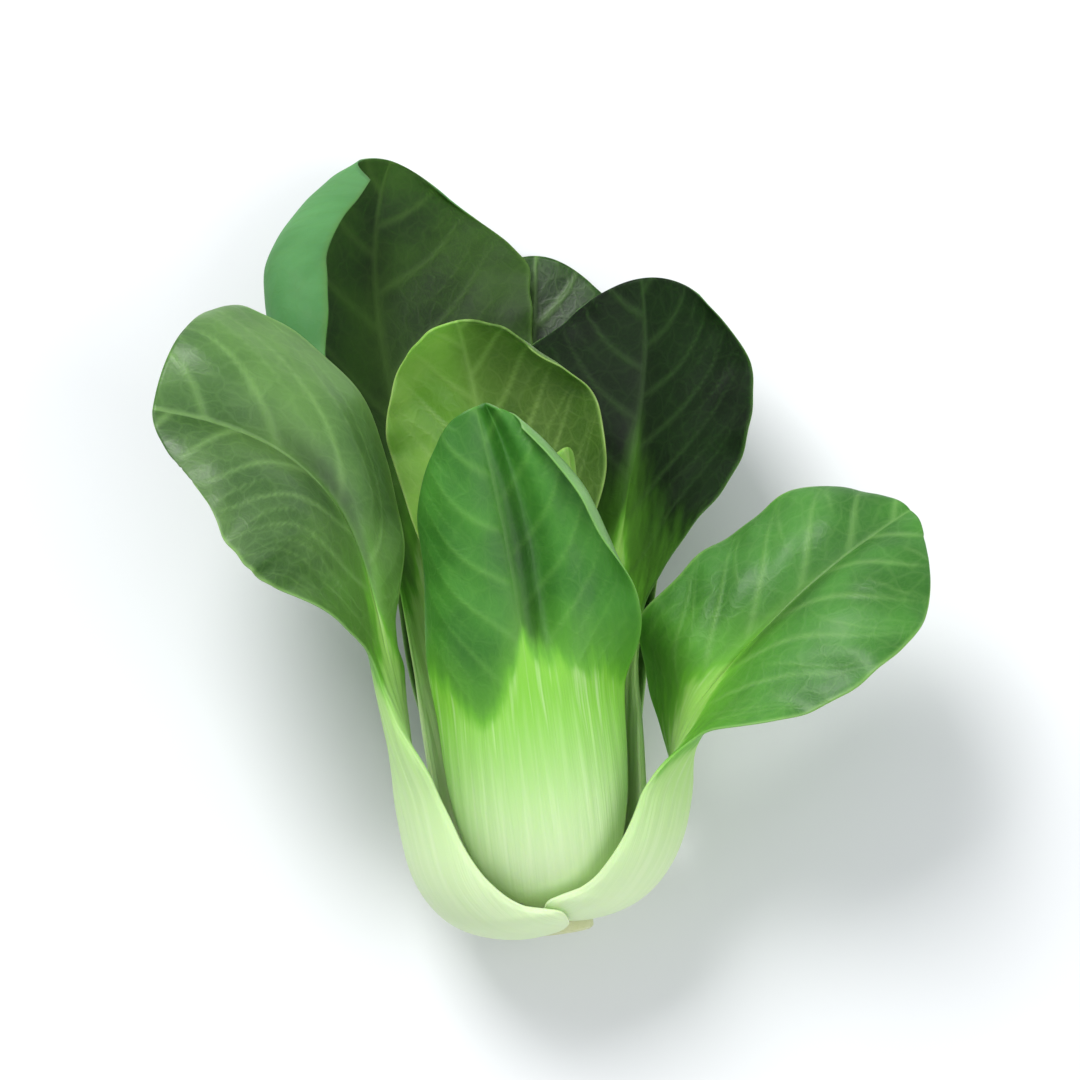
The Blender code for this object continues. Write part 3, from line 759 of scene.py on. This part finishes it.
LEAVES = [
    Leaf(
        "leaf_outer_left", -72, Shell.OUTERMOST, 143, 72,
        half_width=[
            (0, 11), (8, 20), (11.5, 22), (14, 20.4), (18, 20.2), (24, 18.9), (31, 16.8), (38, 14.2),
            (46, 12), (58, 8.4), (69, 6.8), (76, 12), (85, 19.5), (96, 26.5), (108, 31),
            (120, 31), (129, 27.5), (135, 21),
        ],
        tip_arc=8,
        lean=[(42, 5), (56, 6), (73, 3), (84, 7), (96, 21), (108, 39), (120, 56), (132, 68), (143, 74)],
        finish=OUTER_LEFT,
        sway=[(0, 0), (60, 0), (90, -2), (120, -6), (145, -10)],
        twist=[(0, 0), (34, 2), (56, 26), (74, 56), (90, 70), (145, 72)],
        cup_low=[(0, 30), (70, 24), (84, -10), (104, -42), (124, -42), (145, -20)],
        cup_high=[(0, 30), (75, 30), (100, 10), (145, 8)],
        crease=[(0, 0), (60, 0), (84, 34), (108, 46), (128, 40), (145, 20)],
        skew=[
            (0, 0.13), (8, 0.15), (11.5, 0.14), (14, 0.02), (18, -0.06), (24, -0.1), (31, -0.13), (38, -0.1),
            (46, 0), (64, 0), (76, 0.54), (85, 0.5), (96, 0.34), (108, 0.14), (120, -0.02), (130, -0.24),
            (143, -0.42),
        ],
        # This line also sets the painted shadow beside the midrib.
        wave=1.0, waves=2.4, wave_phase=0.4, valley_painted_shade=(-0.12, 0.10, 0.75),
    ),
    Leaf(
        "leaf_outer_right", 72, Shell.OUTER_SPREAD, 110, 50,
        half_width=[
            (0, 10.8), (8, 19.6), (11.5, 21.7), (14, 20.4), (18, 20), (24, 18.4), (31, 16.4), (41, 16),
            (47, 17.8), (55, 21.8), (66, 24.5), (78, 26.5), (89, 25), (97, 20.5), (103, 14), (106, 8.5),
        ],
        tip_arc=4,
        lean=[(36, 16), (44, 26), (52, 41), (64, 48), (78, 51), (96, 57), (116, 63)],
        finish=OUTER_RIGHT,
        sway=[(0, 0), (46, 0), (70, 10), (94, 26), (116, 42)],
        twist=[(0, 0), (32, -2), (48, -34), (60, -62), (116, -70)],
        cup_low=[(0, 30), (50, 26), (66, 0), (84, -16), (110, -10)],
        cup_high=[(0, 30), (50, 20), (66, -10), (84, -30), (110, -20)],
        crease=[(0, 0), (44, 0), (60, 40), (86, 42), (110, 20)],
        skew=[
            (0, -0.1), (8, -0.13), (11.5, -0.13), (14, -0.02), (18, 0.05), (24, 0.06), (31, 0.02), (40, 0.1),
            (47, 0.2), (54, 0.11), (66, -0.04), (85, -0.08), (110, 0),
        ],
        # This line also sets the painted shadow beside the midrib.
        wave=1.2, waves=2.2, wave_phase=2.0, valley_painted_shade=(-0.08, 0.08, 0.7),
    ),
    Leaf(
        "leaf_back", 176, Shell.OUTER, 152, 72,
        half_width=[
            (0, 5.6), (8, 11.5), (18, 19), (31, 22), (42, 24.5), (56, 26.5),
            (70, 27.5), (86, 30), (104, 33), (120, 32), (133, 26), (140, 19), (145, 13),
        ],
        tip_arc=7,
        lean=[(46, 8), (66, 17), (90, 20), (120, 15), (152, 4)],
        finish=BACK,
        sway=[(0, 0), (50, 0), (80, -6), (152, -8)],
        cup_low=[(0, 30), (76, 20), (110, 6), (152, 6)],
        crease=[(0, 0), (60, 0), (90, 14), (120, 12), (152, 6)],
        wave=1.4, waves=3.0, wave_phase=1.1, pressed=True,
        green_low=[(0, 88), (0.1, 76), (0.3, 60), (1, 34)],
    ),
    Leaf(
        "leaf_front", 0, Shell.MIDDLE, 107, 48,
        half_width=[
            (0, 6.4), (8, 13), (18, 18.5), (30, 21.5), (44, 22.5),
            (56, 24), (70, 25.5), (84, 23), (95, 16), (101, 10),
        ],
        tip_arc=6,
        lean=[(48, -1), (78, 4), (107, 10)],
        finish=FRONT_LEAF,
        sway=[(0, 0), (50, 0), (78, -4), (107, -8)],
        cup_low=[(0, 50), (48, 62), (72, 72), (107, 50)],
        cup_high=[(0, 50), (48, 56), (72, 36), (107, 30)],
        curl_high=[(0, 0), (48, 0), (64, -90), (80, -150), (96, -130), (107, -80)],
        crease=[(0, 0), (44, 0), (64, -30), (88, -34), (107, -16)],
        skew=[(0, 0), (56, 0), (76, 0.1), (95, 0), (107, -0.1)],
        stalk_thick=5.0, wave=0.8, waves=2.0, wave_phase=0.5, groove=4.2,
        # This line also sets the painted shadow beside the midrib.
        valley_painted_shade=(0.10, 0.14, 0.9), valley_end=0.6, crisp=1.8,
        green_low=[(0, 62), (0.12, 54), (0.4, 44), (0.75, 52), (1, 56)],
        green_high=[(0, 62), (0.12, 57), (0.5, 54), (1, 50)],
    ),
    Leaf(
        "leaf_left", -138, Shell.MIDDLE, 170, 76,
        half_width=[
            (0, 5.4), (8, 11), (18, 15.5), (32, 16), (54, 12), (72, 10.5),
            (80, 14), (96, 28), (116, 40), (134, 42), (145, 39), (154, 32.5), (160, 25), (165, 15),
        ],
        tip_arc=5,
        lean=[(44, 6), (62, 14), (90, 19), (120, 18), (145, 6), (170, -26)],
        finish=REAR_LEFT,
        sway=[(0, 0), (50, -2), (80, -9), (120, -11), (170, -12)],
        twist=[(0, 0), (44, 2), (80, 12), (120, 18), (170, 14)],
        cup_low=[(0, 40), (76, 40), (110, 30), (140, 34), (170, 36)],
        cup_high=[(0, 40), (76, 44), (110, 34), (140, 34), (170, 40)],
        curl_high=[(0, 0), (86, 0), (112, 110), (135, 140), (152, 130), (170, 100)],
        crease=[(0, 0), (66, 0), (96, 14), (130, 14), (170, 6)],
        skew=[(0, 0), (84, 0), (110, 0.2), (136, 0.21), (150, 0.1), (170, 0)],
        stalk_thick=5.0, wave=1.2, waves=3.0, wave_phase=2.6, rests=3.2, columns=96,
    ),
    Leaf(
        "leaf_right", 124, Shell.MIDDLE, 134, 66,
        half_width=[
            (0, 5.1), (8, 10.8), (18, 14.8), (32, 14), (52, 10), (62, 10),
            (70, 14), (84, 25), (100, 30), (114, 27), (123, 20), (128, 15),
        ],
        tip_arc=6,
        lean=[(44, 5), (62, 14), (90, 20), (110, 16), (134, -2)],
        finish=REAR_RIGHT,
        sway=[(0, 0), (50, 0), (90, 2), (134, 0)],
        twist=[(0, 0), (44, -2), (78, -24), (134, -36)],
        cup_low=[(0, 40), (70, 30), (100, 18), (134, 28)],
        cup_high=[(0, 40), (70, 34), (100, 34), (134, 34)],
        crease=[(0, 0), (60, 0), (86, 22), (112, 18), (134, 8)],
        stalk_thick=5.0, wave=1.2, waves=2.8, wave_phase=0.0,
    ),
    Leaf(
        "leaf_hood", 180, Shell.INNER, 126, 56,
        half_width=[
            (0, 4.4), (8, 9), (18, 13.5), (32, 13.5), (46, 12), (56, 12),
            (68, 18), (84, 24), (98, 25), (112, 20), (120, 14),
        ],
        tip_arc=6,
        lean=[(46, 2), (68, 8), (86, 6), (102, -14), (115, -44), (126, -74)],
        finish=HOOD,
        slot="heart_leaf",
        sway=[(0, 0), (44, 0), (80, 4), (126, 6)],
        cup_low=[(0, 50), (60, 52), (90, 56), (126, 46)],
        cup_high=[(0, 50), (60, 48), (90, 40), (126, 36)],
        skew=[(0, 0), (60, 0), (85, -0.16), (126, -0.1)],
        stalk_thick=4.2, wave=1.0, waves=2.6, wave_phase=1.6, halves_blend=0.6,
    ),
    Leaf(
        "leaf_inner_left", -62, Shell.INNER, 84, 44,
        half_width=[(0, 4.2), (8, 8.5), (18, 12), (32, 12), (42, 10), (52, 12), (62, 13), (70, 11), (78, 7)],
        tip_arc=5,
        lean=[(46, -2), (66, -2), (84, -6)],
        finish=YOUNG,
        slot="heart_leaf",
        cup_low=[(0, 50), (50, 58), (84, 50)],
        stalk_thick=4.0, wave=0.6, waves=2.0, columns=48, rows=110,
    ),
    Leaf(
        "leaf_inner_right", 62, Shell.INNER, 90, 48,
        half_width=[
            (0, 4.2), (8, 8.5), (18, 12), (32, 12), (46, 10), (56, 12.5), (66, 14), (76, 12), (84, 8),
        ],
        tip_arc=5,
        lean=[(48, 1), (70, 2), (90, -2)],
        finish=YOUNG,
        slot="heart_leaf",
        cup_low=[(0, 50), (50, 58), (90, 50)],
        stalk_thick=4.0, wave=0.6, waves=2.0, wave_phase=1.0, columns=48, rows=110,
    ),
    Leaf(
        "leaf_heart_front", 12, Shell.HEART, 66, 34,
        half_width=[(0, 2.4), (8, 5.5), (18, 7.2), (32, 7.2), (42, 8.5), (52, 9), (60, 5.5)],
        tip_arc=4,
        lean=[(34, -2), (66, -4)],
        finish=YOUNG,
        slot="heart_leaf",
        cup_low=[(0, 60), (36, 60), (66, 60)],
        stalk_thick=3.0, wave=0.4, waves=1.5, columns=36, rows=90,
    ),
    Leaf(
        "leaf_heart_back", -168, Shell.HEART, 74, 38,
        half_width=[(0, 2.4), (8, 5.5), (18, 7.4), (34, 7.4), (46, 9.5), (58, 10), (68, 6)],
        tip_arc=4,
        lean=[(36, 0), (74, -2)],
        finish=YOUNG,
        slot="heart_leaf",
        cup_low=[(0, 60), (40, 60), (74, 60)],
        stalk_thick=3.0, wave=0.4, waves=1.5, wave_phase=1.0, columns=36, rows=90,
    ),
]


@dataclass
class StemPlate:
    """The cut stem plate that the leaves grow from, turned about the head's axis."""

    steps: list[tuple[float, float]] = field(
        default_factory=lambda: [
            (7.4, 0.0), (8.0, 0.5), (8.0, 4.0), (5.8, 5.4), (5.8, 8.0),
            (3.4, 9.2), (3.4, 12.0), (1.3, 13.2), (1.3, 16.0),
        ]
    )
    tip: float = 16.8
    sides: int = 96

    def low_corner(self) -> np.ndarray:
        """Returns the lowest Y and Z of the plate from the middle of the cut end, in millimetres."""
        sin, cos = math.sin(AXIS_RISE), math.cos(AXIS_RISE)
        low_y = min(up * cos - radius * sin for radius, up in self.steps)
        low_z = min(up * sin - radius * cos for radius, up in self.steps)
        return np.array([0.0, low_y, low_z])

    def origin(self) -> np.ndarray:
        """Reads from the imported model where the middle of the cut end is.

        Returns:
            The place in the row frame, in millimetres.
        """
        low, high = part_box("stem_plate")
        own = self.low_corner()
        return np.array([(low[0] + high[0]) / 2 / MM, low[1] / MM - own[1], low[2] / MM - own[2]])

    def material(self) -> bpy.types.Material:
        """Builds the pale flesh of the cut: fine rings of sap vessels, a drier rim and small pits.

        Returns:
            The material.
        """
        made = bpy.data.materials.new("cut_stem")
        made.use_nodes = True
        nodes = Nodes(made.node_tree)
        shader = made.node_tree.nodes["Principled BSDF"]
        place = nodes.read("plate_place", "Vector")
        split = nodes.add("SeparateXYZ", "across the cut")
        nodes.join(place, split.inputs[0])
        square = nodes.sum("MULTIPLY", split.outputs[0], split.outputs[0])
        off = nodes.sum("SQRT", nodes.sum("MULTIPLY_ADD", split.outputs[1], split.outputs[1], square))
        blotch = nodes.noise(place, 0.55, 4.0)
        grain = nodes.noise(place, 3.2, 3.0)
        radius = nodes.sum("MULTIPLY_ADD", blotch, 1.2, off)
        past_ring = nodes.sum("SUBTRACT", 1.0, nodes.ramp(radius, 5.4, 6.2))
        ring = nodes.sum("MULTIPLY", nodes.ramp(radius, 4.4, 5.2), past_ring)
        rim = nodes.ramp(radius, 6.6, 7.6)
        flesh = nodes.mix(nodes.ramp(blotch, -0.2, 0.2), srgb(226, 232, 196), srgb(206, 218, 166))
        flesh = nodes.mix(nodes.sum("MULTIPLY", ring, 0.55), flesh, srgb(172, 196, 112))
        flesh = nodes.mix(nodes.sum("MULTIPLY", rim, 0.6), flesh, srgb(190, 192, 140))
        pits = nodes.ramp(grain, 0.10, 0.24)
        flesh = nodes.mix(nodes.sum("MULTIPLY", pits, 0.5), flesh, srgb(160, 150, 100))
        nodes.join(flesh, shader.inputs["Base Color"])
        nodes.join(nodes.sum("MULTIPLY_ADD", grain, 0.4, 0.5), shader.inputs["Roughness"])
        relief = nodes.relief(nodes.sum("SUBTRACT", grain, pits), 0.5, 0.4 * MM)
        nodes.join(relief, shader.inputs["Normal"])
        shader.inputs["Subsurface Weight"].default_value = 0.3
        shader.inputs["Subsurface Radius"].default_value = (1.0, 0.9, 0.5)
        shader.inputs["Subsurface Scale"].default_value = 0.002
        return made

    def build(self) -> bpy.types.Object:
        """Models the plate from a disc, drawn out and narrowed step by step.

        Returns:
            The plate.
        """
        deselect_all()
        foot = self.steps[0][0] * MM
        bpy.ops.mesh.primitive_circle_add(vertices=self.sides, radius=foot, fill_type="NOTHING")
        plate = bpy.context.object
        plate.name = plate.data.name = "stem_plate_dressed"
        bpy.ops.object.mode_set(mode="EDIT")
        bpy.ops.mesh.select_all(action="SELECT")
        heights = [up for _, up in self.steps]
        for (before, low), (after, high) in zip(self.steps, self.steps[1:]):
            bpy.ops.mesh.extrude_edges_move(TRANSFORM_OT_translate={"value": (0, 0, (high - low) * MM)})
            bpy.ops.transform.resize(value=(after / before, after / before, 1.0))
        last = (0, 0, (self.tip - heights[-1]) * MM)
        bpy.ops.mesh.extrude_edges_move(TRANSFORM_OT_translate={"value": last})
        bpy.ops.mesh.merge(type="CENTER")
        bpy.ops.mesh.select_all(action="DESELECT")
        bpy.ops.mesh.select_mode(type="EDGE")
        bpy.ops.mesh.select_non_manifold(extend=False)
        bpy.ops.mesh.fill_grid(span=self.sides // 4)
        bpy.ops.mesh.select_all(action="SELECT")
        bpy.ops.mesh.normals_make_consistent(inside=False)
        bpy.ops.object.mode_set(mode="OBJECT")
        write_attribute(plate.data, "plate_place", places_of(plate.data) / MM)
        plate.rotation_euler = Vector(AXIS).to_track_quat("Z", "X").to_euler()
        plate.location = Vector(self.origin() * MM)
        bpy.ops.object.transform_apply(location=True, rotation=True, scale=True)
        bpy.ops.object.shade_smooth_by_angle(angle=math.radians(40))
        plate.data.materials.clear()
        plate.data.materials.append(self.material())
        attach(plate, "root")
        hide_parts("stem_plate")
        log.info("%s: %d faces", plate.name, len(plate.data.polygons))
        return plate


@dataclass(frozen=True)
class SoftLight:
    """A square light: where it hangs and its side, in metres, and its power in watts."""

    name: str
    place: tuple[float, float, float]
    side: float
    power: float

    def hang(self, aim: Vector) -> None:
        """Hangs the light, facing the aim."""
        deselect_all()
        bpy.ops.object.light_add(type="AREA", location=self.place)
        lamp = bpy.context.object
        lamp.name = self.name
        lamp.data.size = self.side
        lamp.data.energy = self.power
        lamp.rotation_euler = (Vector(self.place) - aim).to_track_quat("Z", "Y").to_euler()


@dataclass
class Studio:
    """A pale floor, soft light and the camera, which looks down on the head from above its front."""

    azimuth: float = -7.0
    elevation: float = 77.0
    distance: float = 0.85
    lens: float = 138.0
    aim: tuple[float, float, float] = (-0.001, -0.006, 0.035)
    lights: tuple[SoftLight, ...] = (
        SoftLight("key", (-0.30, 0.62, 1.0), 0.5, 12.0),
        SoftLight("fill", (0.7, -0.5, 1.0), 0.9, 6.0),
    )
    floor_side: float = 6.0
    floor_colour: Colour = (0.75, 0.76, 0.77, 1.0)
    room_colour: Colour = (0.93, 0.96, 1.0, 1.0)
    room_light: float = 0.62

    def floor(self) -> None:
        """Lays the floor that the head rests on."""
        deselect_all()
        bpy.ops.mesh.primitive_plane_add(size=self.floor_side)
        ground = bpy.context.object
        ground.name = "floor"
        made = bpy.data.materials.new("pale_floor")
        made.use_nodes = True
        shader = made.node_tree.nodes["Principled BSDF"]
        shader.inputs["Base Color"].default_value = self.floor_colour
        shader.inputs["Roughness"].default_value = 0.7
        ground.data.materials.append(made)

    def surroundings(self) -> None:
        """Fills the room with even pale light."""
        world = bpy.data.worlds.new("studio")
        bpy.context.scene.world = world
        world.use_nodes = True
        sky = world.node_tree.nodes["Background"]
        sky.inputs["Color"].default_value = self.room_colour
        sky.inputs["Strength"].default_value = self.room_light
        bpy.context.scene.view_settings.view_transform = "Standard"

    def camera(self) -> None:
        """Places the camera at the photograph's angle to the head."""
        a, e = math.radians(self.azimuth), math.radians(self.elevation)
        back = Vector((math.sin(a) * math.cos(e), -math.cos(a) * math.cos(e), math.sin(e)))
        deselect_all()
        bpy.ops.object.camera_add(location=Vector(self.aim) + back * self.distance)
        made = bpy.context.object
        made.rotation_mode = "QUATERNION"
        made.rotation_quaternion = back.to_track_quat("Z", "Y")
        made.data.lens = self.lens
        made.data.sensor_width = 36.0
        bpy.context.scene.camera = made

    def build(self) -> None:
        """Sets the whole studio up."""
        self.floor()
        for light in self.lights:
            light.hang(Vector(self.aim))
        self.surroundings()
        self.camera()
        log.info("studio ready")


def main() -> None:
    """Builds every piece."""
    logging.basicConfig(level=logging.INFO, format="%(name)s: %(message)s")
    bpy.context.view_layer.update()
    plate = StemPlate()
    origin = plate.origin()
    plate.build()
    for leaf in LEAVES:
        leaf.build(origin)
    Studio().build()


if __name__ == "__main__":
    main()
